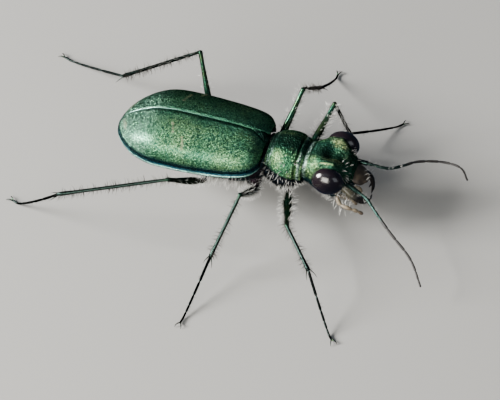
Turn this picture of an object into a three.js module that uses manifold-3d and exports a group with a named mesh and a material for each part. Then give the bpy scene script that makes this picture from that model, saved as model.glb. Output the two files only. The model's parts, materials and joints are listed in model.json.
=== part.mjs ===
// A green tiger beetle, life size, standing on a flat floor with its head towards +X.
// Millimetres, +Z up. Stations along the body are measured from the base of the wing cases,
// and at the end the whole beetle is moved so that the origin lies under the middle of its box.
import * as THREE from "three";
import { mergeVertices } from "three/addons/utils/BufferGeometryUtils.js";
import Module from "manifold-3d";

const wasm = await Module();
wasm.setup();

// Driving sizes
const jointGap = 0.12; // left between neighbouring pieces, small beside a body 15 mm long
const shellWall = 0.5; // thickness of a wing case
const shellBoxiness = 3.2; // exponent of the wing cases' cross-section, 2 is an ellipse
const floorLevel = 0;

// Smooth curve through rows of [x, value], with no overshoot.
function curveThrough(rows) {
  const slope = rows.slice(1).map((row, i) => (row[1] - rows[i][1]) / (row[0] - rows[i][0]));
  const tangent = rows.map((row, i) => {
    if (i === 0) return slope[0];
    if (i === rows.length - 1) return slope[i - 1];
    return slope[i - 1] * slope[i] <= 0 ? 0 : (2 * slope[i - 1] * slope[i]) / (slope[i - 1] + slope[i]);
  });
  return (x) => {
    const last = rows.length - 2;
    let i = rows.findIndex((row, k) => k > 0 && x <= row[0]) - 1;
    if (i < 0) i = x < rows[0][0] ? 0 : last;
    const step = rows[i + 1][0] - rows[i][0];
    const s = THREE.MathUtils.clamp((x - rows[i][0]) / step, 0, 1);
    const bend = s * s * (3 - 2 * s);
    return (
      rows[i][1] * (1 - bend) +
      rows[i + 1][1] * bend +
      step * (tangent[i] * s * (1 - s) * (1 - s) - tangent[i + 1] * s * s * (1 - s))
    );
  };
}

const spread = (from, to, count) =>
  Array.from({ length: count }, (_, i) => from + ((to - from) * i) / (count - 1));

// Closed surface through rings of equal length, each end closed by a fan.
function loft(rings) {
  const sides = rings[0].length;
  const points = rings.flat();
  const faces = [];
  rings.slice(1).forEach((_, r) => {
    for (let k = 0; k < sides; k++) {
      const a = r * sides + k;
      const b = r * sides + ((k + 1) % sides);
      faces.push(a, b, b + sides, a, b + sides, a + sides);
    }
  });
  [0, rings.length - 1].forEach((r, end) => {
    const centre = rings[r].reduce((sum, p) => sum.add(p), new THREE.Vector3()).divideScalar(sides);
    const c = points.push(centre) - 1;
    for (let k = 0; k < sides; k++) {
      const a = r * sides + k;
      const b = r * sides + ((k + 1) % sides);
      faces.push(...(end ? [c, a, b] : [c, b, a]));
    }
  });
  const geometry = new THREE.BufferGeometry().setFromPoints(points);
  geometry.setIndex(faces);
  return geometry;
}

// A three.js geometry as a solid for cutting and joining.
function solid(geometry) {
  const bare = geometry.clone();
  bare.deleteAttribute("normal");
  bare.deleteAttribute("uv");
  const merged = mergeVertices(bare, 1e-4);
  const numbers = { numProp: 3, vertProperties: merged.attributes.position.array };
  const corners = new Uint32Array(merged.index.array);
  const made = new wasm.Manifold(new wasm.Mesh({ ...numbers, triVerts: corners }));
  if (made.volume() > 0) return made;
  const turned = new Uint32Array(corners);
  for (let i = 0; i < turned.length; i += 3) [turned[i], turned[i + 1]] = [turned[i + 1], turned[i]];
  return new wasm.Manifold(new wasm.Mesh({ ...numbers, triVerts: turned }));
}

const join = (...pieces) => pieces.reduce((whole, piece) => whole.add(piece));
const cut = (piece, ...tools) => tools.reduce((left, tool) => left.subtract(tool), piece);

const finish = (name, colour, roughness, metalness) =>
  new THREE.MeshStandardMaterial({ name, color: new THREE.Color(...colour), roughness, metalness });
const finishes = {
  wingCase: finish("wing_case", [0.05, 0.3, 0.14], 0.35, 0.9),
  cuticle: finish("cuticle", [0.08, 0.26, 0.11], 0.4, 0.9),
  underside: finish("underside", [0.03, 0.09, 0.08], 0.4, 0.8),
  leg: finish("leg", [0.04, 0.1, 0.07], 0.35, 0.8),
  eye: finish("eye", [0.05, 0.03, 0.035], 0.15, 0),
  ivory: finish("ivory", [0.7, 0.6, 0.42], 0.4, 0),
  jaw: finish("jaw", [0.06, 0.04, 0.03], 0.3, 0.2),
};

// The largest closed body of a solid, as a named mesh.
function mesh(name, made, material) {
  const body = made.decompose().reduce((a, b) => (b.volume() > a.volume() ? b : a));
  const { numProp, numVert, vertProperties, triVerts } = body.getMesh();
  const places = new Float32Array(numVert * 3);
  for (let i = 0; i < numVert; i++) places.set(vertProperties.subarray(i * numProp, i * numProp + 3), i * 3);
  const geometry = new THREE.BufferGeometry();
  geometry.setAttribute("position", new THREE.BufferAttribute(places, 3));
  geometry.setIndex(new THREE.BufferAttribute(new Uint32Array(triVerts), 1));
  geometry.computeVertexNormals();
  const made3 = new THREE.Mesh(geometry, material);
  made3.name = name;
  return made3;
}

// Basic forms

// One ring of a body section at station x. The upper and lower halves meet at the widest level.
function sectionRing(x, { half, top, wide, low, power = 2.2, sides = 24, dip = 0, dipHalf = 0.6 }) {
  const rounded = (value) => Math.sign(value) * Math.abs(value) ** (2 / power);
  return Array.from({ length: sides }, (_, k) => {
    const angle = (2 * Math.PI * k) / sides;
    const y = half * rounded(Math.cos(angle));
    const up = rounded(Math.sin(angle));
    const sunk = up > 0 ? dip * up * Math.exp(-((y / dipHalf) ** 2)) : 0;
    return new THREE.Vector3(x, y, wide + (up > 0 ? (top - wide) * up : (wide - low) * up) - sunk);
  });
}

function ellipsoid(centre, radii, columns = 18, rows = 12) {
  const ball = new THREE.SphereGeometry(1, columns, rows);
  ball.scale(...radii);
  ball.translate(...centre);
  return solid(ball);
}

// A rounded rod of changing thickness along a smooth path.
function rod(path, radiusAt, { sides = 8, steps = 8, grow = 0 } = {}) {
  const curve = new THREE.CatmullRomCurve3(path.map((p) => new THREE.Vector3(...p)), false, "centripetal");
  const frames = curve.computeFrenetFrames(steps, false);
  const ringAt = (centre, i, radius) =>
    Array.from({ length: sides }, (_, k) => {
      const angle = (2 * Math.PI * k) / sides;
      return centre
        .clone()
        .addScaledVector(frames.normals[i], radius * Math.cos(angle))
        .addScaledVector(frames.binormals[i], radius * Math.sin(angle));
    });
  const rings = [];
  const endCap = (i, direction) => {
    const radius = radiusAt(i / steps) + grow;
    return [0.9, 0.55].map((share) => {
      const centre = curve
        .getPointAt(i / steps)
        .addScaledVector(frames.tangents[i], direction * radius * share * 0.8);
      return ringAt(centre, i, radius * Math.sqrt(1 - share * share));
    });
  };
  rings.push(...endCap(0, -1));
  for (let i = 0; i <= steps; i++) {
    rings.push(ringAt(curve.getPointAt(i / steps), i, radiusAt(i / steps) + grow));
  }
  rings.push(...endCap(steps, 1).reverse());
  return solid(loft(rings));
}

function block(low, high) {
  const size = high.map((value, i) => value - low[i]);
  const box = new THREE.BoxGeometry(...size);
  box.translate(...low.map((value, i) => value + size[i] / 2));
  return solid(box);
}

// Wing cases: half width, ridge height and rim height against the distance behind their base
const shell = {
  base: 0.9,
  length: 8.95,
  half: curveThrough([
    [0, 1.5], [0.12, 1.82], [0.35, 2.1], [0.8, 2.33], [1.5, 2.49], [2.7, 2.62], [4.6, 2.72], [6, 2.68],
    [7.2, 2.34], [8, 1.8], [8.55, 1.2], [8.95, 0.3],
  ]),
  ridge: curveThrough([
    [0, 4.34], [0.25, 4.6], [0.8, 4.82], [1.6, 4.96], [3, 5.03], [5.4, 5.07], [6.5, 4.93], [7.5, 4.53],
    [8.3, 4.03], [8.95, 3.35],
  ]),
  rim: curveThrough([[0, 3.6], [0.8, 3.4], [2.6, 3.22], [5.5, 3.16], [7.8, 3.14], [8.95, 3.18]]),
};

// The dome of both wing cases, or a smaller one inside it when inset is above 0.
function shellDome(inset, front, back, low) {
  return solid(
    loft(
      [...spread(front, 1.1, 6), ...spread(1.6, 6.4, 7), ...spread(6.9, back, 8)].map((behind) => {
        const half = Math.max(shell.half(behind) - inset, 0.1);
        const wide = shell.rim(behind);
        const top = Math.max(shell.ridge(behind) - inset, wide + 0.08);
        const arch = sectionRing(shell.base - behind, {
          half, top, wide, low: wide, power: shellBoxiness, sides: 36,
        }).slice(0, 19);
        const under = low ?? wide;
        if (under >= wide) return arch;
        const edge = arch[0];
        return [new THREE.Vector3(edge.x, half, under), ...arch, new THREE.Vector3(edge.x, -half, under)];
      }),
    ),
  );
}

// The small triangular plate between the bases of the wing cases
const scutellum = { front: 1.2, back: 0.08, half: 0.5, low: 4.05 };

function scutellumPlate(grow = 0) {
  const outline = new THREE.Shape([
    new THREE.Vector2(scutellum.front, scutellum.half + grow),
    new THREE.Vector2(scutellum.front, -scutellum.half - grow),
    new THREE.Vector2(scutellum.back - grow * 2, 0),
  ]);
  const plate = new THREE.ExtrudeGeometry(outline, { depth: 2, bevelEnabled: false });
  plate.translate(0, 0, scutellum.low - grow);
  return solid(plate);
}

const wholeShell = cut(
  shellDome(0, 0, shell.length, null),
  shellDome(shellWall, shellWall, shell.length - shellWall, 2),
  scutellumPlate(jointGap),
);
const far = 20; // well outside the beetle
function wingCase(side) {
  const [right, left] = side > 0 ? [jointGap / 2, far] : [-far, -jointGap / 2];
  return wholeShell.intersect(block([-far, right, -1], [far, left, far]));
}

// Hind body: it fills the wing cases from below, and its belly hangs under their rims.
const bodyInset = shellWall + jointGap;
const belly = curveThrough([
  [-8, 2.85], [-7.4, 2.35], [-6, 1.9], [-4, 1.62], [-2.3, 1.5], [-0.6, 1.42], [0.3, 1.65], [0.9, 1.95],
]);

function trunk(from, to, stations, power) {
  return solid(
    loft(
      spread(from, to, stations).map((x) => {
        const behind = shell.base - x;
        return sectionRing(x, {
          half: Math.max(shell.half(behind) - bodyInset - 0.02, 0.35),
          top: shell.ridge(behind) - bodyInset,
          wide: shell.rim(behind),
          low: belly(x),
          power,
          sides: 20,
        });
      }),
    ),
  );
}

const waist = -2.35;
const neckJoint = 0.9;

// Fore body
const pronotum = {
  rear: neckJoint + jointGap,
  front: 3.18,
  half: curveThrough([[1, 1.3], [1.25, 1.45], [1.7, 1.63], [2.2, 1.71], [2.7, 1.66], [3, 1.5], [3.2, 1.42]]),
  top: curveThrough([[1, 4.3], [1.25, 4.47], [1.7, 4.62], [2.3, 4.66], [2.8, 4.58], [3.2, 4.42]]),
  low: curveThrough([[1, 2.1], [1.3, 1.95], [1.8, 1.82], [2.4, 1.86], [3.2, 2.35]]),
  wide: 3.2,
};
const grooves = [{ at: 1.28, depth: 0.07 }, { at: 2.88, depth: 0.06 }];
const grooveHalf = 0.12;

function prothorax(grow = 0) {
  return solid(
    loft(
      spread(pronotum.rear - grow, pronotum.front + grow, 17).map((x) => {
        const grooveAt = (g) => g.depth * Math.exp(-(((x - g.at) / grooveHalf) ** 2));
        const sunk = grooves.reduce((sum, g) => sum + grooveAt(g), 0);
        return sectionRing(x, {
          half: pronotum.half(x) - sunk + grow,
          top: pronotum.top(x) - sunk + grow,
          wide: pronotum.wide,
          low: pronotum.low(x) - grow,
          power: 2.25,
          sides: 20,
        });
      }),
    ),
  );
}

// Head, with the crown hollowed between the eyes
const headRear = pronotum.front + jointGap;
const head = {
  front: 6.12,
  half: curveThrough([[3.3, 1.2], [3.8, 1.3], [4.4, 1.4], [5, 1.4], [5.5, 1.2], [5.9, 0.9], [6.12, 0.72]]),
  top: curveThrough([
    [3.3, 4.32], [3.8, 4.56], [4.4, 4.74], [5, 4.76], [5.5, 4.52], [5.9, 4.1], [6.12, 3.78],
  ]),
  wide: curveThrough([[3.3, 3.5], [4.5, 3.7], [5.5, 3.55], [6.12, 3.3]]),
  low: curveThrough([[3.3, 2.5], [4, 2.05], [4.8, 1.85], [5.6, 2], [6.12, 2.5]]),
  dip: curveThrough([[3.3, 0], [4, 0.12], [4.8, 0.4], [5.3, 0.3], [5.9, 0.05], [6.12, 0]]),
  power: curveThrough([[3.3, 2.3], [4.2, 2.8], [4.9, 3.8], [5.5, 2.8], [6.12, 2.4]]),
};

function headCapsule(grow = 0) {
  return solid(
    loft(
      spread(headRear, head.front, 15).map((x, i, all) =>
        sectionRing(x + (i === all.length - 1 ? grow : 0), {
          half: head.half(x) + grow,
          top: head.top(x) + grow,
          wide: head.wide(x),
          low: head.low(x) - grow,
          dip: head.dip(x),
          dipHalf: 0.72,
          power: head.power(x),
          sides: 24,
        }),
      ),
    ),
  );
}

const eye = { centre: [4.9, 1.54, 3.72], radii: [0.95, 0.66, 0.86] };
const mirrored = (point, side) => [point[0], point[1] * side, point[2]];
const eyeball = (side, grow = 0) =>
  ellipsoid(mirrored(eye.centre, side), eye.radii.map((r) => r + grow), 18, 11);

// Mouthparts. Each is cut clear of the ones named before it.
const lip = { root: 5.95, tip: 6.78, level: 3.56, slope: 0.6, half: 0.26 };
function labrum(grow = 0) {
  const width = curveThrough([[5.95, 0.66], [6.3, 0.78], [6.6, 0.7], [6.78, 0.42]]);
  return solid(
    loft(
      spread(lip.root, lip.tip, 7).map((x, i, all) => {
        const level = lip.level - (x - lip.root) * lip.slope;
        const thick = lip.half * (i === all.length - 1 ? 0.6 : 1) + grow;
        return sectionRing(x + (i === all.length - 1 ? grow : 0), {
          half: width(x) + grow, top: level + thick, wide: level, low: level - thick, sides: 18,
        });
      }),
    ),
  );
}

const tapered = (thick, thin, power = 1) => (s) => thick + (thin - thick) * s ** power;

function mandible(side, grow = 0) {
  const lift = side > 0 ? 0.14 : -0.14; // the left jaw closes over the right one
  const path = [
    [5.7, 0.78, 2.85], [6.25, 1.02, 2.5], [6.75, 0.88, 2.22 + lift], [7.05, 0.45, 2.02 + lift],
    [7.12, -0.1, 1.9 + lift],
  ].map((p) => mirrored(p, side));
  const blade = rod(path, tapered(0.36, 0.1, 1.3), { sides: 7, steps: 6, grow });
  const tooth = (root, tip) =>
    rod([root, tip].map((p) => mirrored(p, side)), tapered(0.16, 0.05), { sides: 5, steps: 1, grow });
  return join(
    blade,
    tooth([6.7, 0.84, 2.24 + lift], [6.62, 0.4, 2.16 + lift]),
    tooth([6.35, 0.9, 2.44], [6.3, 0.5, 2.26 + lift / 2]),
  );
}

const palpPaths = {
  outer: [[5.3, 1, 2.2], [5.6, 1.36, 1.95], [6.15, 1.5, 1.9], [6.65, 1.36, 1.68], [6.9, 1.16, 1.36]],
  inner: [[4.9, 0.4, 2.1], [5.15, 0.52, 1.84], [5.7, 0.58, 1.76], [6.15, 0.55, 1.6], [6.36, 0.5, 1.32]],
};
const maxillaryPalp = (side, grow = 0) =>
  rod(
    palpPaths.outer.map((p) => mirrored(p, side)),
    (s) => 0.26 - 0.08 * s + 0.03 * Math.cos(s * 6 * Math.PI),
    { sides: 7, steps: 9, grow },
  );
const labialPalp = (side, grow = 0) =>
  rod(
    palpPaths.inner.map((p) => mirrored(p, side)),
    (s) => 0.25 - 0.06 * s + 0.04 * Math.cos(s * 4 * Math.PI),
    { sides: 7, steps: 8, grow },
  );

// Antennae: one path for each side, parted into three lengths
const antennaPaths = {
  right: [
    [5.6, -0.9, 3.3], [6.35, -1.2, 3.2], [7.17, -1.6, 3.1], [7.97, -2.3, 2.85], [9.07, -3.27, 2.55],
    [10.55, -4.35, 2], [11.5, -5.5, 1.25],
  ],
  left: [
    [5.6, 0.9, 3.36], [6.6, 0.86, 3.36], [7.73, 1, 3.2], [8.4, 1.6, 3.05], [9.1, 2.4, 2.85], [10.4, 3, 2.65],
    [11.5, 2.85, 2.65], [12, 2.6, 2.05],
  ],
};
const antennaCuts = [0, 0.14, 0.42, 1]; // shares of the length where it is parted
const antennaCaps = 0.4; // length taken by the rounded ends where two lengths meet
const antennaRadius = (s) => 0.27 - 0.02 * Math.min(s / 0.42, 1) - 0.13 * Math.max(0, s - 0.42) ** 1.4;

function antennaLengths(sideName) {
  const curve = new THREE.CatmullRomCurve3(
    antennaPaths[sideName].map((p) => new THREE.Vector3(...p)), false, "centripetal",
  );
  const total = curve.getLength();
  return ["scape", "base", "whip"].map((part, i) => {
    const from = antennaCuts[i] + (i ? (jointGap + antennaCaps) / total : 0);
    const to = antennaCuts[i + 1];
    const path = spread(from, to, i === 2 ? 9 : 5).map((s) => curve.getPointAt(s).toArray());
    const beads = [1, 3, 7][i];
    const radiusAt = (s) =>
      antennaRadius(from + (to - from) * s) * (1 - (i ? 0.05 : 0) * Math.cos(2 * Math.PI * beads * s));
    return [part, rod(path, radiusAt, { sides: 7, steps: [3, 7, 20][i] })];
  });
}

// Legs: places of the joints from the coxa to the tip of the foot, and how far the femur bows
const legs = {
  front_right: {
    root: [2.05, -0.7, 2.05], start: [2.45, -1.05, 1.68],
    knee: [3.5, -4.7, 2.75], ankle: [5.45, -6.95, 2.1], toe: [7.7, -9.8], bow: 0.06,
  },
  front_left: {
    root: [2.05, 0.7, 2.05], start: [2.45, 1.05, 1.68],
    knee: [3.6, 4.15, 4.25], ankle: [4.35, 4.95, 1.35], toe: [6.8, 8], bow: 0.06,
  },
  middle_right: {
    root: [0.3, -0.75, 1.85], start: [0.68, -1.28, 1.62],
    knee: [0.8, -4.8, 4.45], ankle: [-0.2, -7.1, 1.45], toe: [-0.6, -11.15], bow: 0.08,
  },
  middle_left: {
    root: [0.3, 0.75, 1.85], start: [0.68, 1.28, 1.62],
    knee: [1.65, 4.3, 4.7], ankle: [1.85, 7.35, 2.2], toe: [1.85, 11], bow: 0.08,
  },
  hind_right: {
    root: [-2.2, -0.75, 1.8], start: [-2.6, -1.4, 1.36],
    knee: [-3.15, -5.5, 5.1], ankle: [-9.3, -6.7, 3.2], toe: [-12.9, -5.1], bow: 0.06,
  },
  hind_left: {
    root: [-2.2, 0.75, 1.8], start: [-2.6, 1.4, 1.36],
    knee: [-4.75, 4.75, 5.4], ankle: [-9.9, 5.45, 1.45], toe: [-14.45, 7.35], bow: 0.06,
  },
};
const legRadii = {
  coxa: 0.56, hip: 0.27, thigh: 0.38, knee: 0.27, shin: 0.25, ankle: 0.26, foot: 0.25, toe: 0.17,
};
const lay = { height: 0.24, from: 0.9, bend: 1.15 }; // the foot reaches this height near its tip

const place = (point) => new THREE.Vector3(...point);
function coxa(leg, grow = 0) {
  const centre = [leg.root[0], leg.root[1], leg.root[2]];
  const r = legRadii.coxa + grow;
  const reach = rod([leg.root, leg.start], tapered(0.34, legRadii.hip), { steps: 2, grow });
  return join(ellipsoid(centre, [r * 1.1, r, r * 0.9], 10, 7), reach);
}

// A straight piece along local +X from a ball joint at its origin.
function segment(length, radiusAt, endRadius, { bow = 0, steps = 9, joint }) {
  const path = spread(0, 1, 5).map((s) => [length * s, 0, -bow * 4 * s * (1 - s)]);
  const shaft = rod(path, radiusAt, { steps });
  return cut(
    join(shaft, ellipsoid([length, 0, 0], [endRadius, endRadius, endRadius], 8, 6)),
    ellipsoid([0, 0, 0], Array(3).fill(joint + jointGap), 9, 7),
  );
}

// A sharp cone from one point to another.
function spike(from, to, radius) {
  const [start, end] = [from, to].map(place);
  const cone = new THREE.ConeGeometry(radius, start.distanceTo(end), 5);
  cone.translate(0, start.distanceTo(end) / 2, 0);
  cone.applyQuaternion(
    new THREE.Quaternion().setFromUnitVectors(new THREE.Vector3(0, 1, 0), end.clone().sub(start).normalize()),
  );
  cone.translate(start.x, start.y, start.z);
  return solid(cone);
}

// The pair of spurs at the far end of a tibia
const spurRadius = 0.13;
const spur = (length, side) =>
  spike([length - 0.1, 0.08 * side, -0.06], [length + 0.62, 0.5 * side, -0.2], spurRadius);

const towards = (from, to) => {
  const along = to.clone().sub(from).normalize();
  const across = new THREE.Vector3(0, 0, 1).cross(along).normalize();
  const up = along.clone().cross(across);
  return new THREE.Quaternion().setFromRotationMatrix(new THREE.Matrix4().makeBasis(along, across, up));
};

function foot(leg) {
  const run = Math.hypot(leg.toe[0] - leg.ankle[0], leg.toe[1] - leg.ankle[1]);
  const drop = leg.ankle[2];
  const heightAt = (s) => lay.height + (drop - lay.height) * Math.max(0, 1 - s / lay.from) ** lay.bend;
  const path = spread(0, 1, 9).map((s) => [run * s, 0, heightAt(s) - drop]);
  const joints = 4;
  const radiusAt = (s) =>
    (legRadii.foot + (legRadii.toe - legRadii.foot) * s) * (1 - 0.07 * Math.cos(2 * Math.PI * joints * s));
  const claw = (side) =>
    rod(
      [
        [run - 0.05, 0.04 * side, lay.height - drop],
        [run + 0.28, 0.24 * side, 0.2 - drop],
        [run + 0.5, 0.26 * side, 0.09 - drop],
      ],
      tapered(0.1, 0.04),
      { sides: 5, steps: 2 },
    );
  return cut(
    join(rod(path, radiusAt, { steps: 10 }), claw(1), claw(-1)),
    ellipsoid([0, 0, 0], Array(3).fill(legRadii.ankle + jointGap), 9, 7),
    block([-2, -2, floorLevel - drop - 2], [run + 2, 2, floorLevel - drop]),
  );
}

// Assembly
const beetle = new THREE.Group();
const coxae = Object.entries(legs).map(([name, leg]) => [name, leg, coxa(leg)]);
const sockets = Object.values(legs).map((leg) => coxa(leg, jointGap));
const sides = { left: 1, right: -1 };

const thoraxNeck = solid(
  loft(
    spread(neckJoint, -0.3, 3).map((x) =>
      sectionRing(x, { half: 1.15, top: 3.3, wide: 2.8, low: belly(x), power: 2.4, sides: 20 }),
    ),
  ),
);
const thoraxFront = shell.base - shellWall - jointGap - 0.05;
const thoraxShape = join(trunk(waist + jointGap / 2, thoraxFront, 8, 2.3), thoraxNeck);
const tailEnd = shell.base - shell.length + shellWall + 0.35; // short of the wing cases' tips
const abdomenShape = trunk(waist - jointGap / 2, tailEnd, 14, 2.4);
const scutellumShape = scutellumPlate().intersect(shellDome(0, 0, shell.length, null));
beetle.add(
  mesh("thorax", cut(thoraxShape, scutellumPlate(jointGap), ...sockets), finishes.underside),
  mesh("abdomen", cut(abdomenShape, ...sockets), finishes.underside),
  mesh("scutellum", cut(scutellumShape, prothorax(jointGap)), finishes.cuticle),
  mesh("pronotum", cut(prothorax(), ...sockets), finishes.cuticle),
);

const headShape = headCapsule();
const headGrown = headCapsule(jointGap);
const labrumShape = cut(labrum(), headGrown);
const eyeSockets = Object.values(sides).map((side) => eyeball(side, jointGap));
beetle.add(
  mesh("head", cut(headShape, ...eyeSockets), finishes.cuticle),
  mesh("labrum", labrumShape, finishes.ivory),
);

Object.entries(sides).forEach(([name, side]) => {
  const other = side < 0 ? [mandible(1, jointGap)] : [];
  const jaw = cut(mandible(side), headGrown, labrum(jointGap), ...other);
  const palpTools = [headGrown, mandible(1, jointGap), mandible(-1, jointGap)];
  beetle.add(
    mesh(`wing_case_${name}`, wingCase(side), finishes.wingCase),
    mesh(`eye_${name}`, eyeball(side), finishes.eye),
    mesh(`mandible_${name}`, jaw, finishes.jaw),
    mesh(`palp_outer_${name}`, cut(maxillaryPalp(side), ...palpTools), finishes.leg),
    mesh(
      `palp_inner_${name}`,
      cut(labialPalp(side), maxillaryPalp(side, jointGap), ...palpTools),
      finishes.ivory,
    ),
  );
  antennaLengths(name).forEach(([part, made]) => {
    const clear = cut(made, headGrown, labrum(jointGap), eyeball(side, jointGap));
    beetle.add(mesh(`antenna_${name}_${part}`, clear, finishes.leg));
  });
});

coxae.forEach(([name, leg, made]) => {
  const [start, knee, ankle] = [leg.start, leg.knee, leg.ankle].map(place);
  const limb = new THREE.Group();
  const thighLength = start.distanceTo(knee);
  const shinLength = knee.distanceTo(ankle);
  const thighRadius = (s) =>
    s < 0.35
      ? THREE.MathUtils.lerp(0.26, legRadii.thigh, Math.sin((s / 0.35) * (Math.PI / 2)))
      : THREE.MathUtils.lerp(legRadii.thigh, 0.25, (s - 0.35) / 0.65);
  const shinRadius = (s) => legRadii.shin + 0.02 * s;
  const thigh = mesh(
    `femur_${name}`,
    segment(thighLength, thighRadius, legRadii.knee, { bow: leg.bow, steps: 7, joint: legRadii.hip }),
    finishes.leg,
  );
  thigh.position.copy(start);
  thigh.quaternion.copy(towards(start, knee));
  const shinShaft = segment(shinLength, shinRadius, legRadii.ankle, { joint: legRadii.knee, steps: 4 });
  const shin = mesh(
    `tibia_${name}`,
    join(shinShaft, spur(shinLength, 1), spur(shinLength, -1)),
    finishes.leg,
  );
  shin.position.copy(knee);
  shin.quaternion.copy(towards(knee, ankle));
  const tarsus = mesh(`tarsus_${name}`, foot(leg), finishes.leg);
  tarsus.position.copy(ankle);
  tarsus.rotation.z = Math.atan2(leg.toe[1] - ankle.y, leg.toe[0] - ankle.x);
  limb.add(mesh(`coxa_${name}`, made, finishes.underside), thigh, shin, tarsus);
  beetle.add(limb);
});

// The origin goes under the middle of the box, at the floor.
const middle = new THREE.Box3().setFromObject(beetle).getCenter(new THREE.Vector3());
beetle.position.set(-middle.x, -middle.y, 0);

export default beetle;
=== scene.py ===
import json
import math

import bpy
import numpy as np
from mathutils import Matrix, Vector

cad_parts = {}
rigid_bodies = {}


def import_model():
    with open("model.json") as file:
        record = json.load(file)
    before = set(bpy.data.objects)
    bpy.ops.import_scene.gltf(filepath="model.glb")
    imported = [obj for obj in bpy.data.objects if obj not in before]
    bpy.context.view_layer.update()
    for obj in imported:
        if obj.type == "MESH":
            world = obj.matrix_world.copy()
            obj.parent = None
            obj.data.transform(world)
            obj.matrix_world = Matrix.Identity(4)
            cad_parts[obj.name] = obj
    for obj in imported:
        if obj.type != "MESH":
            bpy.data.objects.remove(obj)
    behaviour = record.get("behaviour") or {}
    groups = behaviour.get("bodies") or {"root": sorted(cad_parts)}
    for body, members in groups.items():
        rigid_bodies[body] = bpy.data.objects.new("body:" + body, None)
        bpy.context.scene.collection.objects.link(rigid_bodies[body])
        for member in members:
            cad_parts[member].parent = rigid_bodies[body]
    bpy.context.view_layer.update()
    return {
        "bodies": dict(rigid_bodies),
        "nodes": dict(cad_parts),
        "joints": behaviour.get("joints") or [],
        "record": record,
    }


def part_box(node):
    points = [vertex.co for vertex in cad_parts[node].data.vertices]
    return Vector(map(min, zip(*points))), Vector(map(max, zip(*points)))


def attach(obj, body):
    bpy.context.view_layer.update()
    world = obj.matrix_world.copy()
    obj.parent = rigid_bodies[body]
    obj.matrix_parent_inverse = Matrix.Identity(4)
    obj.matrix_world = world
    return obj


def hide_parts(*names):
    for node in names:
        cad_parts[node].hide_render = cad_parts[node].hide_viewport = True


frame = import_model()
mm = 0.001

# Body stations are in mm from the base of the wing cases, x to the head and y to the beetle's left.
# The front face of the pronotum says how far the solids were moved from there.
pronotumFront = 3.18
pronotumLow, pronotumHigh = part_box("pronotum")
shift = np.array([pronotumHigh[0] / mm - pronotumFront, (pronotumLow[1] + pronotumHigh[1]) / 2 / mm, 0])
print("stage: frame loaded, stations moved by", shift.round(3))

camera = dict(
    elevation=45, azimuth=18, distance=150.0, lens=191.16, sensor=36.0,
    aim=(0, 0, 4.95), aimPixel=(253, 128.5), picture=(500, 400),
)
studio = dict(floor=(0.43, 0.43, 0.42), floorHalf=0.6)


# Shader maths: a wrapped socket, so that an expression adds its Math nodes
class Wire:
    def __init__(self, net, socket):
        self.net, self.socket = net, socket

    # Another output of the same node
    def beside(self, out):
        return Wire(self.net, self.socket.node.outputs[out])

    def calc(self, operation, *values):
        return self.net.node("ShaderNodeMath", dict(operation=operation), *values)

    def __rsub__(self, other):
        return self.calc("SUBTRACT", other, self)

    def __abs__(self):
        return self.calc("ABSOLUTE", self)

    def sqrt(self):
        return self.calc("SQRT", self)

    # 0 below start, 1 above end, smooth between; the other way round when start is above end
    def step(self, start, end):
        low, high, down = (start, end, False) if start < end else (end, start, True)
        settings = dict(interpolation_type="SMOOTHSTEP")
        ramp = self.net.node("ShaderNodeMapRange", settings, self, low, high, 0.0, 1.0, out="Result")
        return 1 - ramp if down else ramp

    # 1 at the middle, falling to 0 at that distance on both sides
    def bump(self, middle, half):
        return abs(self - middle).step(half, 0)


operations = dict(
    __add__="ADD", __radd__="ADD", __sub__="SUBTRACT", __mul__="MULTIPLY", __rmul__="MULTIPLY",
    __truediv__="DIVIDE", low="MINIMUM", high="MAXIMUM",
)
for method, operation in operations.items():
    setattr(Wire, method, lambda self, other, name=operation: self.calc(name, self, other))


# One node tree: every node comes from the one method
class Net:
    def __init__(self, tree):
        self.tree = tree

    def node(self, kind, settings=None, *values, out=0, **named):
        made = self.tree.nodes.new(kind)
        for key, value in (settings or {}).items():
            setattr(made, key, value)
        pairs = list(zip(made.inputs, values))
        pairs += [(made.inputs[key.replace("_", " ")], value) for key, value in named.items()]
        for socket, value in pairs:
            if isinstance(value, Wire):
                self.tree.links.new(value.socket, socket)
            elif value is not None:
                socket.default_value = value
        return Wire(self, made.outputs[out]) if made.outputs else None

    # Two colours mixed, each a wire or three numbers
    def blend(self, factor, first, second):
        pair = [(*colour, 1.0) if isinstance(colour, tuple) else colour for colour in (first, second)]
        return self.node("ShaderNodeMix", dict(data_type="RGBA"), factor, *[None] * 5, *pair, out=2)

    def vector(self, operation, *values, **named):
        return self.node("ShaderNodeVectorMath", dict(operation=operation), *values, **named)

    def parted(self, vector):
        first = self.node("ShaderNodeSeparateXYZ", None, vector)
        return [first.beside(i) for i in range(3)]

    # The place on the body in mm
    def body(self):
        scaled = self.vector("SCALE", self.node("ShaderNodeTexCoord", out="Object"), Scale=1 / mm)
        return self.vector("SUBTRACT", scaled, tuple(shift))

    # The piece's own map: u along it, v across it
    def along(self, name="skin"):
        return self.parted(self.node("ShaderNodeUVMap", dict(uv_map=name)))[:2]

    def noise(self, vector, scale, detail=3.0):
        named = dict(Vector=vector, Scale=scale, Detail=detail, Roughness=0.55)
        return self.node("ShaderNodeTexNoise", None, **named)

    # Distance to the middle of the nearest cell, and a number of its own for each cell
    def cells(self, vector, scale):
        distance = self.node("ShaderNodeTexVoronoi", None, Vector=vector, Scale=scale, out="Distance")
        return distance, self.parted(distance.beside("Color"))[0]

    def relief(self, height, depth, strength):
        return self.node("ShaderNodeBump", None, Strength=strength, Distance=depth * mm, Height=height)


def newMaterial(name, build, **constants):
    made = bpy.data.materials.new(name)
    made.use_nodes = True
    made.node_tree.nodes.clear()
    net = Net(made.node_tree)
    shader = net.node("ShaderNodeBsdfPrincipled", None, **build(net), **constants)
    net.node("ShaderNodeOutputMaterial", None, shader)
    return made


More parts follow.
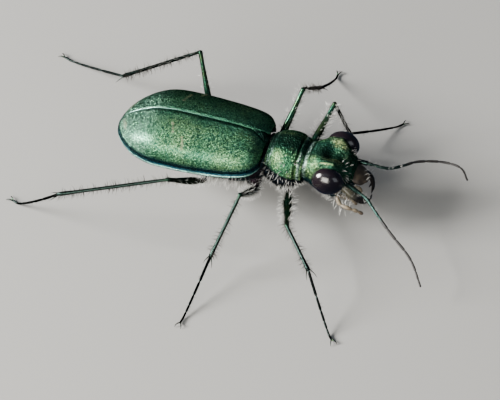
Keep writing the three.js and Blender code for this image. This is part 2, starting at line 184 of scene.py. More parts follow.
# Smooth curve through rows of (x, value), with no overshoot, as the solids use it
def curveThrough(*rows):
    xs, ys = np.array(rows, float).T
    slope = np.diff(ys) / np.diff(xs)
    tangent = np.empty_like(ys)
    tangent[0], tangent[-1] = slope[0], slope[-1]
    both = slope[:-1] * slope[1:]
    total = np.where(np.abs(slope[:-1] + slope[1:]) < 1e-12, 1, slope[:-1] + slope[1:])
    tangent[1:-1] = np.where(both > 0, 2 * both / total, 0)

    def read(x):
        x = np.asarray(x, float)
        i = np.clip(np.searchsorted(xs, x) - 1, 0, len(xs) - 2)
        step = xs[i + 1] - xs[i]
        s = np.clip((x - xs[i]) / step, 0, 1)
        bend = s * s * (3 - 2 * s)
        side = tangent[i] * s * (1 - s) ** 2 - tangent[i + 1] * s * s * (1 - s)
        return ys[i] * (1 - bend) + ys[i + 1] * bend + step * side

    return read


def smoothStep(value, start, end):
    s = np.clip((value - start) / (end - start), 0, 1)
    return s * s * (3 - 2 * s)


def hill(value, middle, half):
    return np.exp(-(((value - middle) / half) ** 2))


# Meshes: a grid of points, rows along and columns across, open or wrapped round with closed ends.
# Each point keeps its share along and across (flow) and the direction in which the rows run.
def gridMesh(grid, wrap=False, tile=(0.0, 1.0)):
    rows, columns, _ = grid.shape
    points = grid.reshape(-1, 3)
    across = columns if wrap else columns - 1
    r, c = np.meshgrid(np.arange(rows), np.arange(columns), indexing="ij")
    flow = np.stack([r / (rows - 1), c / across], axis=-1).reshape(-1, 2)
    run = np.gradient(grid, axis=0).reshape(-1, 3)
    faces, spots = [], []
    for r in range(rows - 1):
        for c in range(across):
            a, b = r * columns + c, r * columns + (c + 1) % columns
            faces.append((a, b, b + columns, a + columns))
            u0, u1, v0, v1 = r / (rows - 1), (r + 1) / (rows - 1), c / across, (c + 1) / across
            spots += [(u0, v0), (u0, v1), (u1, v1), (u1, v0)]
    if wrap:
        points = np.vstack([points, grid[0].mean(axis=0), grid[-1].mean(axis=0)])
        flow = np.vstack([flow, (0, 0.5), (1, 0.5)])
        run = np.vstack([run, run[:columns].mean(axis=0), run[-columns:].mean(axis=0)])
        for end, r in ((0, 0), (1, rows - 1)):
            for c in range(columns):
                a, b = r * columns + c, r * columns + (c + 1) % columns
                middle = rows * columns + end
                faces.append((middle, b, a) if end == 0 else (middle, a, b))
                spots += [(end, 0.5), (end, c / columns), (end, (c + 1) / columns)]
    run /= np.maximum(np.linalg.norm(run, axis=1, keepdims=True), 1e-9)
    spots = np.array(spots)
    spots[:, 0] = tile[0] + spots[:, 0] * tile[1]
    return dict(points=points, faces=faces, spots=spots, flow=flow, run=run)


def joined(parts):
    faces, start = [], 0
    for part in parts:
        faces += [tuple(i + start for i in face) for face in part["faces"]]
        start += len(part["points"])
    whole = {key: np.vstack([part[key] for part in parts]) for key in ("points", "spots", "flow", "run")}
    return dict(whole, faces=faces)


def mirrored(part):
    over = np.array([1, -1, 1])
    turned = turnedOver(part)
    return dict(turned, points=part["points"] * over, run=part["run"] * over)


# The same surface with its faces pointing the other way
def turnedOver(part):
    spots, flipped, start = [], [], 0
    for face in part["faces"]:
        flipped.append(tuple(reversed(face)))
        spots.append(part["spots"][start : start + len(face)][::-1])
        start += len(face)
    return dict(part, faces=flipped, spots=np.vstack(spots))


# Turned over where its faces look away from the direction on the whole
def facing(part, direction):
    total = np.zeros(3)
    for face in part["faces"][:: max(1, len(part["faces"]) // 60)]:
        a, b, c = (part["points"][i] for i in face[:3])
        total += np.cross(b - a, c - a)
    return part if total.dot(direction) >= 0 else turnedOver(part)


# The same for a closed surface: its volume is positive when the faces point outwards
def outward(part):
    p = part["points"] - part["points"].mean(axis=0)
    fans = ((f[0], f[i], f[i + 1]) for f in part["faces"] for i in range(1, len(f) - 1))
    volume = sum(p[a].dot(np.cross(p[b], p[c])) for a, b, c in fans)
    return part if volume > 0 else turnedOver(part)


def makeMesh(name, part):
    mesh = bpy.data.meshes.new(name)
    places = (part["points"] + shift) * mm
    mesh.from_pydata(places.tolist(), [], part["faces"])
    layer = mesh.uv_layers.new(name="skin")
    layer.data.foreach_set("uv", part["spots"].astype(np.float32).ravel())
    if "edge" in part:
        corners = np.concatenate([part["edge"][list(face)] for face in part["faces"]])
        mesh.uv_layers.new(name="edge").data.foreach_set("uv", corners.astype(np.float32).ravel())
    mesh.shade_smooth()
    mesh.update()
    return mesh


def addPiece(name, part, material, slotName, *nodes):
    mesh = part if isinstance(part, bpy.types.Mesh) else makeMesh(name, part)
    mesh.materials.clear()
    mesh.materials.append(material)
    piece = bpy.data.objects.new(name, mesh)
    bpy.context.scene.collection.objects.link(piece)
    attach(piece, "root")
    if nodes:
        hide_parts(*nodes)
    return piece


# Gives a sheet its thickness, below its faces
def addWall(piece, thick):
    wall = piece.modifiers.new("wall", "SOLIDIFY")
    wall.thickness, wall.offset = thick * mm, -1


# Superellipse section at each station, hollowed along the middle where there is a dip
def bodyGrid(stations, half, top, wide, low, power, sides, dip=None, dipHalf=1.0):
    x, angle = np.meshgrid(stations, 2 * np.pi * np.arange(sides) / sides, indexing="ij")
    p = power(x) if callable(power) else power
    level = wide(x) if callable(wide) else wide
    across, lift = (np.sign(turn) * np.abs(turn) ** (2 / p) for turn in (np.cos(angle), np.sin(angle)))
    y = half(x) * across
    z = level + np.where(lift > 0, top(x) - level, level - low(x)) * lift
    if dip is not None:
        z -= np.where(lift > 0, dip(x) * lift * hill(y, 0, dipHalf), 0)
    return np.stack([x, y, z], axis=-1)


# Outward direction across each row, in the plane of the section; a closed section has its top a quarter round
def outwards(grid, wrap=True):
    if wrap:
        run = np.roll(grid, -1, axis=1) - np.roll(grid, 1, axis=1)
    else:
        run = np.gradient(grid, axis=1)
    out = np.stack([np.zeros_like(run[..., 0]), run[..., 2], -run[..., 1]], axis=-1)
    out /= np.maximum(np.linalg.norm(out, axis=-1, keepdims=True), 1e-9)
    return -out if wrap and out[:, grid.shape[1] // 4, 2].mean() < 0 else out


# A closed body from its sections, pushed out or in by as much as swell says
def bodyPart(start, end, rows, swell, **shape):
    grid = bodyGrid(np.linspace(start, end, rows), **shape)
    push = swell(*np.moveaxis(grid, -1, 0))
    return outward(gridMesh(grid + outwards(grid) * push[..., None], wrap=True))


# A path through points, evenly spaced by length
def smoothPath(points, count):
    points = np.array(points, float)
    padded = np.vstack([2 * points[0] - points[1], points, 2 * points[-1] - points[-2]])
    fine = []
    for a, b, c, d in zip(padded, padded[1:], padded[2:], padded[3:]):
        for t in np.linspace(0, 1, 24, endpoint=False):
            squared, cubed = (2 * a - 5 * b + 4 * c - d) * t**2, (3 * b - a - 3 * c + d) * t**3
            fine.append(0.5 * (2 * b + (c - a) * t + squared + cubed))
    fine = np.array(fine + [points[-1]])
    length = np.concatenate([[0], np.cumsum(np.linalg.norm(np.diff(fine, axis=0), axis=1))])
    want = np.linspace(0, length[-1], count)
    return np.stack([np.interp(want, length, fine[:, i]) for i in range(3)], axis=-1)


# A tube of changing thickness: one radius for each place on the path, with rounded ends
def tube(path, radii, sides=14, flat=1.0, tile=(0.0, 1.0)):
    path, radii = np.array(path, float), np.array(radii, float)
    tangent = np.gradient(path, axis=0)
    tangent /= np.linalg.norm(tangent, axis=1, keepdims=True)
    across = np.cross((0, 0, 1), tangent[0])
    frames = []
    for step in tangent:
        across = across - step * across.dot(step)
        across /= np.linalg.norm(across)
        frames.append((across, np.cross(step, across)))
    angle = 2 * np.pi * np.arange(sides) / sides
    reach, caps = 0.7, (0.97, 0.8, 0.45)  # how far an end stands out in radii, and where its rings are

    def ring(centre, frame, radius):
        side, rise = frame
        return centre + radius * (np.outer(np.cos(angle), side) + flat * np.outer(np.sin(angle), rise))

    def cap(i, way, s):
        centre = path[i] + tangent[i] * radii[i] * reach * s * way
        return ring(centre, frames[i], radii[i] * math.sqrt(1 - s * s))

    rows = [cap(0, -1, s) for s in caps] + [ring(*three) for three in zip(path, frames, radii)]
    rows += [cap(-1, 1, s) for s in reversed(caps)]
    return outward(gridMesh(np.array(rows), wrap=True, tile=tile))


# A tube that tapers to a point
def hook(points, count, thick, power, tip=0.006, sides=8):
    taper = (1 - np.linspace(0, 1, count)) ** power
    return tube(smoothPath(points, count), thick * taper + tip, sides)


def ball(centre, radii, columns, rows):
    polar, angle = np.linspace(0.06, np.pi - 0.06, rows), 2 * np.pi * np.arange(columns) / columns
    p, a = np.meshgrid(polar, angle, indexing="ij")
    grid = np.stack([-np.cos(p), np.sin(p) * np.cos(a), np.sin(p) * np.sin(a)], axis=-1)
    return outward(gridMesh(grid * radii + centre, wrap=True))


# Finishes

# Green metal of the back: pitted, navy along the edges (partly the beetle's own blue, partly painted shade),
# with thin pale marks; painted highlights at the tail, rim and seam, and painted shade in the pits
def shellFinish(net):
    place = net.body()
    x, y = net.parted(place)[:2]
    fromRim, fromSeam = net.along("edge")
    u = net.along()[0]
    c = shellColours
    patchy = net.noise(place, 0.5, 3.0)
    grain, spark = net.cells(place, c["pits"])
    fine = net.noise(place, 24.0, 2.0)
    pit = (grain + (fine - 0.5) * 0.55).step(0.1, 0.55)
    green = net.blend(patchy.step(0.38, 0.64), c["green"], c["light"])
    green = net.blend(fromSeam.step(0.9, 0.0) * 0.6, green, c["deep"])
    # painted highlight: the tail of each wing case is painted pale mint
    green = net.blend((u + (patchy - 0.5) * 0.16).step(0.6, 0.8) * 0.85, green, c["paintedRearHighlight"])
    # painted shade: the pits are darkened, and so are random cells, standing in for facets turned from the
    # light
    green = net.blend((pit * 0.55 + spark.step(0.55, 0.05) * 0.55).low(0.92), green, c["pit"])
    # navy band along the flanks: partly the beetle's own bluer edge, partly painted shade where the flanks
    # turn from the light
    green = net.blend((fromRim + (patchy - 0.5) * 0.1).step(0.62, 0.34) * 0.92, green, c["navyFlankAndShade"])
    # painted highlight: a pale teal line along the rim, and along the seam growing towards the tail
    seam = fromSeam.step(0.03, 0.015) * u.step(0.15, 0.7) * 0.7
    green = net.blend(fromRim.step(0.08, 0.04).high(seam), green, c["lip"])
    mark = None
    ragged = (net.noise(place, 7.0, 3.0) - 0.5) * 0.3 + (net.noise(place, 1.7, 2.0) - 0.5) * 0.12
    for first, last, width in shellMarks:
        run = (last[0] - first[0], last[1] - first[1])
        long = run[0] ** 2 + run[1] ** 2
        share = (((x - first[0]) * run[0] + (abs(y) - first[1]) * run[1]) / long).high(0).low(1)
        dx = x - first[0] - share * run[0]
        dy = abs(y) - first[1] - share * run[1]
        here = ((dx * dx + dy * dy).sqrt() + ragged).step(width, width * 0.4)
        mark = here if mark is None else mark.high(here)
    mark = mark * (1 - pit * 0.85) * 0.68
    colour = net.blend(mark, green, c["mark"])
    rough = 0.21 + fine * 0.14 + mark * 0.15
    normal = net.relief(pit * -1 + fine * 0.35 + spark * 0.5, 0.03, c["relief"])
    return dict(Base_Color=colour, Metallic=(1 - mark) * 0.96, Roughness=rough, Normal=normal)


shellColours = dict(
    pits=13.5, relief=0.74,
    green=(0.13, 0.37, 0.18), light=(0.23, 0.47, 0.2), deep=(0.09, 0.34, 0.22), paintedRearHighlight=(0.45, 0.97, 0.68),
    pit=(0.018, 0.08, 0.055), navyFlankAndShade=(0.006, 0.03, 0.055), lip=(0.22, 0.46, 0.4), mark=(0.52, 0.33, 0.22),
)
# Pale marks on each wing case: from, to (x along, distance from the seam) and half width, in mm
shellMarks = [
    ((-4.44, 0.95), (-4.24, 1.6), 0.09),
    ((-3.62, 1.84), (-3.46, 2.34), 0.115),
    ((-7.6, 0.5), (-7.24, 1.24), 0.13),
]


# Brassy green of pronotum and head: clouds of two greens, with a shallow pit in each cell
def brassy(net, clouds, brassFrom, pits, squeeze, fineness):
    place = net.body()
    patchy, fine = net.noise(place, clouds), net.noise(place, fineness, 2.0)
    pit = net.cells(net.vector("MULTIPLY", place, squeeze), pits)[0].step(0.15, 0.6)
    shade = (pit * 0.5 + net.cells(place, pits)[1].step(0.55, 0.1) * 0.6).low(0.92)
    base = net.blend(patchy.step(0.4, brassFrom), foreColours["green"], foreColours["brass"])
    return place, patchy, fine, pit, shade, base


def brassySockets(net, base, fine, height):
    normal = net.relief(height, 0.035, 0.9)
    return dict(Base_Color=base, Metallic=0.94, Roughness=0.33 + fine * 0.2, Normal=normal)


# The pronotum has cross folds at the back, silver-blue grooves and a dark middle and underside
def foreFinish(net):
    place, patchy, fine, pit, shade, base = brassy(net, 1.1, 0.6, 9.5, (1.0, 0.6, 1.0), 22.0)
    x, y, z = net.parted(place)
    c = foreColours
    below = (z + x * 0.26 + (patchy - 0.5) * 0.3).step(4.12, 3.92)
    folds = net.noise(net.vector("MULTIPLY", place, (9.0, 1.0, 1.0)), 1.5, 2.0).step(0.4, 0.6)
    collars = (x.step(1.56, 1.36) * folds.step(0.25, 0.6)).high(x.bump(3.06, 0.13))
    base = net.blend(collars * 0.8, base, c["silver"])
    middle = (abs(y) + (patchy + fine - 1) * 0.5).step(0.95, 0.4)
    base = net.blend(middle * z.step(3.6, 3.9) * 0.93, base, c["crown"])
    base = net.blend(shade, base, c["pit"])
    base = net.blend(below, base, net.blend(fine.step(0.4, 0.6), c["under"], c["underBlue"]))
    return brassySockets(net, base, fine, pit * -1 + fine * 0.6 + folds * x.step(1.85, 1.4) * 1.8)


# The head has long wrinkles beside the eyes, golden brows painted as a highlight and a dark crown, with a
# painted dark reflection in the hollow between the brows
def headFinish(net):
    place, patchy, fine, pit, shade, base = brassy(net, 1.3, 0.62, 10.0, (1.0, 1.0, 1.0), 24.0)
    x, y, z = net.parted(place)
    c = foreColours
    wrinkles = net.noise(net.vector("MULTIPLY", place, (1.2, 9.0, 4.0)), 1.6, 2.0).step(0.35, 0.65)
    # painted highlight: gold on the brows, strongest on the left brow, and a thin gold line along each eye's
    # ridge
    brow = abs(y).bump(0.7, 0.36) * z.step(4.1, 4.45) * x.bump(4.95, 0.7) * y.step(-1.4, -0.2).high(0.25)
    line = abs(y).bump(1.13, 0.07) * z.step(4.2, 4.4) * x.bump(4.6, 0.6)
    base = net.blend(x.step(3.95, 4.45) * 0.75, base, c["crown"])
    base = net.blend(brow.high(line), base, c["paintedGoldHighlight"])
    # painted dark reflection: the hollow between the brows is darkened
    middle = (abs(y) + (patchy + fine - 1) * 0.5).step(1.0, 0.35) * x.step(5.0, 4.4)
    base = net.blend(middle * z.step(3.9, 4.2) * 0.93, base, c["crown"])
    base = net.blend(x.step(3.55, 3.3), base, c["silver"])
    base = net.blend(shade, base, c["pit"])
    base = net.blend((z + (patchy - 0.5) * 0.3).step(3.45, 3.1), base, c["cheek"])
    return brassySockets(net, base, fine, pit * -0.8 + fine * 0.5 + wrinkles * (brow + 0.25) * 1.6)


foreColours = dict(
    green=(0.09, 0.3, 0.14), brass=(0.3, 0.5, 0.21), paintedGoldHighlight=(0.68, 0.8, 0.34), silver=(0.66, 0.95, 0.86),
    pit=(0.015, 0.06, 0.035), under=(0.022, 0.015, 0.022), underBlue=(0.012, 0.03, 0.04),
    cheek=(0.015, 0.055, 0.065), crown=(0.012, 0.05, 0.045),
)


# Dark underside, purple-black with a blue-green sheen in places
def underFinish(net):
    place = net.body()
    patchy = net.noise(place, 0.9, 4.0)
    fine = net.noise(place, 14.0, 2.0)
    grain = net.cells(place, 9.0)[0]
    base = net.blend(patchy.step(0.4, 0.65), underColours["purple"], underColours["blue"])
    base = net.blend(fine.step(0.5, 0.7) * 0.5, base, underColours["bronze"])
    normal = net.relief(grain.step(0.1, 0.6) * -0.7 + fine, 0.03, 0.8)
    return dict(Base_Color=base, Metallic=0.8, Roughness=0.36 + fine * 0.2, Normal=normal)


underColours = dict(purple=(0.035, 0.022, 0.032), blue=(0.014, 0.045, 0.055), bronze=(0.06, 0.04, 0.035))


# Legs: dark green bronze, greyer down to the foot
def legFinish(net):
    place = net.body()
    u = net.along()[0]
    patchy = net.noise(place, 1.6, 3.0)
    fine = net.noise(place, 18.0, 2.0)
    base = net.blend(patchy.step(0.35, 0.7), legColours["green"], legColours["bronze"])
    base = net.blend(u.step(0.26, 0.36), base, legColours["shin"])
    base = net.blend(u.step(0.56, 0.66), base, legColours["foot"])
    base = net.blend(fine.step(0.55, 0.7) * 0.6, base, legColours["pit"])
    normal = net.relief(fine, 0.014, 0.5)
    return dict(Base_Color=base, Metallic=0.9, Roughness=0.12 + fine * 0.1, Normal=normal)


legColours = dict(
    green=(0.02, 0.08, 0.052), bronze=(0.05, 0.085, 0.035), shin=(0.016, 0.028, 0.024),
    foot=(0.012, 0.017, 0.016), pit=(0.006, 0.013, 0.012),
)


# Feelers: first four joints metallic, the others dull
def feelerFinish(net):
    u = net.along()[0]
    fine = net.noise(net.body(), 24.0, 2.0)
    dull = u.step(0.4, 0.46)
    base = net.blend(dull, (0.02, 0.05, 0.042), (0.014, 0.013, 0.013))
    return dict(
        Base_Color=base, Metallic=0.85 - dull * 0.75, Roughness=0.2 + dull * 0.25 + fine * 0.12,
        Normal=net.relief(fine, 0.02, 0.6),
    )


# Eyes: brown-black, with facets far finer than a bristle
def eyeFinish(net):
    place = net.body()
    normal = net.relief(net.cells(place, 24.0)[0], 0.006, 0.6)
    cloud = net.noise(place, 0.8, 2.0)
    base = net.blend(cloud.step(0.35, 0.7), (0.004, 0.003, 0.005), (0.012, 0.0075, 0.0095))
    return dict(Base_Color=base, Metallic=0.0, Roughness=0.17 + cloud * 0.05, Normal=normal)


# Ivory parts of the mouth, browner towards the tip
def ivoryFinish(net):
    u = net.along()[0]
    cloud = net.noise(net.body(), 2.4)
    base = net.blend(cloud.step(0.3, 0.7), (0.26, 0.22, 0.15), (0.13, 0.1, 0.07))
    base = net.blend(u.step(0.78, 1.0), base, (0.07, 0.042, 0.028))
    return dict(Base_Color=base, Roughness=0.36 + cloud * 0.1, Normal=net.relief(cloud, 0.02, 0.4))


# Upper lip: ivory horn painted dark brown as painted shade
def shadedLipFinish(net):
    cloud = net.noise(net.body(), 2.8)
    base = net.blend(cloud.step(0.35, 0.65), (0.085, 0.066, 0.046), (0.035, 0.028, 0.022))
    return dict(Base_Color=base, Roughness=0.3 + cloud * 0.12, Normal=net.relief(cloud, 0.02, 0.4))


# Jaws: dark but for their roots
def jawFinish(net):
    u = net.along()[0]
    cloud = net.noise(net.body(), 3.0)
    base = net.blend((u + (cloud - 0.5) * 0.2).step(0.22, 0.42), (0.09, 0.085, 0.06), (0.012, 0.011, 0.01))
    return dict(Base_Color=base, Roughness=0.22 + cloud * 0.12, Normal=net.relief(cloud, 0.02, 0.4))


# Bristles: white on body and femora, brown past the knees
def bristleFinish(net):
    u = net.along("strand")[0]
    y = net.parted(net.body())[1]
    base = net.blend(u.step(0.05, 0.75), (0.2, 0.2, 0.18), (0.9, 0.9, 0.88))
    brown = net.blend(u, (0.015, 0.013, 0.01), (0.07, 0.06, 0.05))
    base = net.blend(abs(y).step(4.0, 5.0), base, brown)
    return dict(Base_Color=base, Roughness=0.5 - u * 0.1)


def floorFinish(net):
    cloud = net.noise(net.node("ShaderNodeTexCoord", out="Object"), 60.0)
    base = net.blend(cloud, studio["floor"], tuple(c * 0.97 for c in studio["floor"]))
    return dict(Base_Color=base, Roughness=0.85)


edgeTint = (0.004, 0.05, 0.12, 1.0)  # what the metal turns to where it is seen edge on
shellMetal = newMaterial("wingCaseGreen", shellFinish, Specular_Tint=edgeTint)
foreMetal = newMaterial("brassyGreen", foreFinish, Specular_Tint=edgeTint)
headMetal = newMaterial("headGreen", headFinish, Specular_Tint=edgeTint)
underMetal = newMaterial("darkUnderside", underFinish, Specular_Tint=edgeTint)
legMetal = newMaterial("legBronze", legFinish, Specular_Tint=edgeTint)
feelerMetal = newMaterial("feeler", feelerFinish)
eyeGloss = newMaterial("eyeBrown", eyeFinish, Specular_IOR_Level=0.5, Coat_Weight=1.0, Coat_Roughness=0.12)
ivory = newMaterial("ivory", ivoryFinish)
shadedLipIvory = newMaterial("shadedLipIvory", shadedLipFinish)
jawHorn = newMaterial("jawHorn", jawFinish)
bristleWhite = newMaterial("bristleWhite", bristleFinish)
print("stage: finishes made")

# Wing cases: half width, ridge height and rim height, each against the distance behind the base
shell = dict(
    base=0.9, length=8.97, boxiness=3.2, rows=190, columns=92, crowding=1.45, seam=0.012, wall=0.14,
    rimLip=0.06, roof=0.07, calm=0.37,
    # swellings: measured from seam, rim or base, then the middle, the half width and the height
    ridges=(
        ("seam", 0, 0.026, 0.022), ("seam", 0.1, 0.04, -0.012), ("rim", 0.2, 0.09, -0.04),
        ("base", 0.05, 0.06, 0.035), ("base", 0.2, 0.08, -0.02),
    ),
    # the shoulder and the hollow inside it: behind the base, half width, from the middle, half width, height
    bosses=((0.75, 0.5, 1.75, 0.4, 0.05), (1.5, 0.7, 1.1, 0.35, -0.03)),
    half=curveThrough(
        (0, 1.5), (0.12, 1.82), (0.35, 2.1), (0.8, 2.33), (1.5, 2.49), (2.7, 2.62), (4.6, 2.72), (6, 2.68),
        (7.2, 2.34), (8, 1.8), (8.55, 1.2), (8.85, 0.66), (8.97, 0.12),
    ),
    ridge=curveThrough(
        (0, 4.34), (0.25, 4.6), (0.8, 4.82), (1.6, 4.96), (3, 5.03), (5.4, 5.07), (6.5, 4.93), (7.5, 4.53),
        (8.3, 4.03), (8.8, 3.5), (8.97, 3.22),
    ),
    rim=curveThrough((0, 3.6), (0.8, 3.4), (2.6, 3.22), (5.5, 3.16), (7.8, 3.14), (8.97, 3.18)),
)
plate = dict(front=0.95, back=0.1, half=0.4, wall=0.2)  # scutellum, between the bases of the wing cases


def wingCase():
    s = shell
    t = np.linspace(0, 1, s["rows"])
    behind = s["length"] * ((0.5 - 0.5 * np.cos(np.pi * t)) * 0.35 + t * 0.65)
    v = np.linspace(0, 1, s["columns"])
    angle = np.pi / 2 * (1 - v) ** s["crowding"]
    across = np.cos(angle) ** (2 / s["boxiness"])
    across[0] = 0
    lift = np.sin(angle) ** (2 / s["boxiness"])
    half, ridge, rim = (s[key](behind)[:, None] for key in ("half", "ridge", "rim"))
    back = behind[:, None] + 0 * across
    x = s["base"] - back
    besidePlate = np.clip((x - plate["back"] + 0.06) / (plate["front"] - plate["back"]), 0, 1.2)
    inner = s["seam"] + plate["half"] * besidePlate
    y = inner + (half - inner) * across
    z = rim + (ridge - rim) * lift
    grid = np.stack([x, -y, z], axis=-1)
    out = outwards(grid, False)
    length = np.cumsum(np.linalg.norm(np.diff(grid, axis=1, prepend=grid[:, :1]), axis=2), axis=1)
    fromRim = length[:, -1:] - length
    tail = np.cumsum(np.linalg.norm(np.diff(grid, axis=0, prepend=grid[:1]), axis=2), axis=0)
    toTip = tail[-1:] - tail
    measure = dict(seam=length, rim=fromRim, base=back)
    push = sum(height * hill(measure[key], at, width) for key, at, width, height in s["ridges"])
    for at, width, aside, spread, height in s["bosses"]:
        push += height * hill(back, at, width) * hill(y, aside, spread)
    push *= smoothStep(behind, s["length"], s["length"] - s["calm"])[:, None] * 0.8 + 0.2
    grid = grid + out * push[..., None]
    grid[..., 2] -= s["roof"] * (y / half.max()) * smoothStep(y, 0, 0.25)
    lip = s["rimLip"] * hill(fromRim, 0, 0.06)
    grid[..., 1] -= lip * 0.8
    grid[..., 2] += lip * 0.12
    edge = np.stack([np.minimum(fromRim, toTip), length], axis=-1)
    return grid, edge


# The edge turns in under itself
def foldedRim(grid):
    edge = grid[:, -1:, :].copy()
    middle = np.stack([edge[..., 0] * 0 + edge[..., 0].mean(), 0 * edge[..., 1], edge[..., 2]], axis=-1)
    inward = middle - edge
    inward[..., 2] = 0
    inward /= np.maximum(np.linalg.norm(inward, axis=-1, keepdims=True), 1e-6)
    first = edge + inward * 0.02 + np.array([0, 0, -0.05])
    second = edge + inward * 0.3 + np.array([0, 0, -0.1])
    return np.concatenate([grid, first, second], axis=1)


caseGrid, caseEdge = wingCase()
rightShell = facing(gridMesh(foldedRim(caseGrid)), (0, 0, 1))
caseEdge = np.concatenate([caseEdge, caseEdge[:, -1:] * (0, 1), caseEdge[:, -1:] * (0, 1)], axis=1)
rightShell["edge"] = caseEdge.reshape(-1, 2)
for sideName, part in (("right", rightShell), ("left", mirrored(rightShell))):
    piece = addPiece(f"wingCase_{sideName}", part, shellMetal, "wing_case", f"wing_case_{sideName}")
    addWall(piece, shell["wall"])

# Scutellum: a small domed triangle
def scutellumPart():
    t, across = np.meshgrid(np.linspace(0, 1, 16), np.linspace(-1, 1, 13), indexing="ij")
    x = plate["back"] + (plate["front"] - plate["back"]) * t
    y = across * (plate["half"] * t + 0.01)
    z = shell["ridge"](shell["base"] - x) + 0.03 - 0.22 * (y / 0.5) ** 2 * t
    return gridMesh(np.stack([x, y, z], axis=-1))


scutellumSkin = facing(scutellumPart(), (0, 0, 1))
addWall(addPiece("scutellumPlate", scutellumSkin, foreMetal, "cuticle", "scutellum"), plate["wall"])
print("stage: wing cases made")

# Pronotum with its collar grooves, middle line and side edges
pronotum = dict(
    wide=3.2, power=2.25, sides=96,
    half=curveThrough(
        (1, 1.22), (1.06, 1.34), (1.25, 1.45), (1.7, 1.63), (2.2, 1.71), (2.7, 1.66), (3, 1.5), (3.24, 1.4),
    ),
    top=curveThrough((1, 4.24), (1.25, 4.47), (1.7, 4.62), (2.3, 4.66), (2.8, 4.58), (3.24, 4.4)),
    low=curveThrough((1, 2.1), (1.3, 1.95), (1.8, 1.82), (2.4, 1.86), (3.24, 2.35)),
)
grooves = ((1.34, 0.06, 0.09), (2.89, 0.11, 0.05))  # place, depth and half width


def pronotumSwell(x, y, z):
    upper = smoothStep(z, 3.0, 3.5)
    push = sum(-depth * hill(x, at, half) for at, depth, half in grooves) * (0.35 + 0.65 * upper)
    push -= 0.035 * hill(y, 0, 0.05) * upper * smoothStep(x, 1.3, 1.6) * smoothStep(x, 2.95, 2.6)
    push += 0.05 * hill(np.abs(y), 0.85, 0.45) * upper * hill(x, 2.1, 0.6)
    margin = z + 0.26 * x - 4.0
    push += 0.035 * hill(margin, 0, 0.05) - 0.06 * hill(margin, -0.22, 0.15)
    push += 0.016 * np.cos((x - 1.09) * 2 * np.pi / 0.125) * smoothStep(x, 1.55, 1.3) * upper
    return push + 0.03 * hill(x, 3.06, 0.07) * upper


foreSkin = bodyPart(1.03, pronotumFront + 0.06, 74, pronotumSwell, **pronotum)
addPiece("pronotumSkin", foreSkin, foreMetal, "cuticle", "pronotum")

# Head: hollow crown between raised brows, face sloping to the lip
head = dict(
    sides=110, dipHalf=0.72,
    half=curveThrough(
        (3.2, 1.16), (3.8, 1.28), (4.4, 1.38), (5, 1.38), (5.5, 1.18), (5.9, 0.9), (6.12, 0.68),
    ),
    top=curveThrough((3.2, 4.28), (3.8, 4.56), (4.4, 4.74), (5, 4.76), (5.5, 4.52), (5.9, 4.1), (6.12, 3.74)),
    wide=curveThrough((3.2, 3.5), (4.5, 3.7), (5.5, 3.55), (6.12, 3.3)),
    low=curveThrough((3.2, 2.5), (4, 2.05), (4.8, 1.85), (5.6, 2), (6.12, 2.5)),
    dip=curveThrough((3.2, 0), (4, 0.14), (4.8, 0.5), (5.3, 0.38), (5.9, 0.06), (6.12, 0)),
    power=curveThrough((3.2, 2.3), (4.2, 2.8), (4.9, 3.8), (5.5, 2.8), (6.12, 2.4)),
)
eye = dict(centre=(4.9, 1.56, 3.72), radii=(0.94, 0.64, 0.85))


def headSwell(x, y, z):
    side = np.abs(y)
    away = np.hypot(*((place - eye["centre"][i]) / eye["radii"][i] for place, i in ((x, 0), (z, 2))))
    push = 0.07 * hill(away, 1.06, 0.09) * (side > 0.7)  # rim round each eye
    push += 0.05 * hill(side, 1.08, 0.12) * hill(x, 4.95, 0.6) * (z > 4.2)  # brow
    push -= 0.08 * hill(x, 5.72, 0.14) * hill(side, 0.82, 0.2) * (z > 3)  # hollow at the feeler's root
    push += 0.07 * hill(x, 5.6, 0.2) * hill(y, 0, 0.35) * (z > 3.4)
    push -= 0.04 * hill(x, 5.86, 0.05) * (z > 3.2)  # seam above the lip's shield
    return push - 0.05 * hill(x, 3.62, 0.1)


headSkin = bodyPart(3.2, 6.12, 96, headSwell, **head)
addPiece("headSkin", headSkin, headMetal, "cuticle", "head")
for sideName, side in (("right", -1), ("left", 1)):
    centre = np.array(eye["centre"]) * (1, side, 1)
    addPiece(f"eyeball_{sideName}", ball(centre, eye["radii"], 56, 40), eyeGloss, "eye", f"eye_{sideName}")

# Upper lip with three small teeth
lip = dict(
    root=5.9, tip=6.74, level=3.56, slope=0.6, half=0.17,
    width=curveThrough((5.9, 0.6), (6.2, 0.74), (6.5, 0.7), (6.68, 0.52), (6.76, 0.36)),
)


def lipPart():
    t, angle = np.meshgrid(np.linspace(0, 1, 26), 2 * np.pi * np.arange(44) / 44, indexing="ij")
    x = lip["root"] + (lip["tip"] - lip["root"]) * t
    y = lip["width"](x) * np.cos(angle)
    z = lip["level"] - (x - lip["root"]) * lip["slope"] + lip["half"] * (1 - 0.75 * t**4) * np.sin(angle)
    z += 0.05 * hill(t, 0.55, 0.2) * (np.sin(angle) > 0) - 0.12 * (y / 0.7) ** 2
    tooth = 0.09 * (hill(y, 0, 0.07) + hill(np.abs(y), 0.26, 0.07)) * t**6
    return outward(gridMesh(np.stack([x + tooth, y, z], axis=-1), wrap=True))


lipSkin = lipPart()
addPiece("upperLip", lipSkin, shadedLipIvory, "ivory", "labrum")

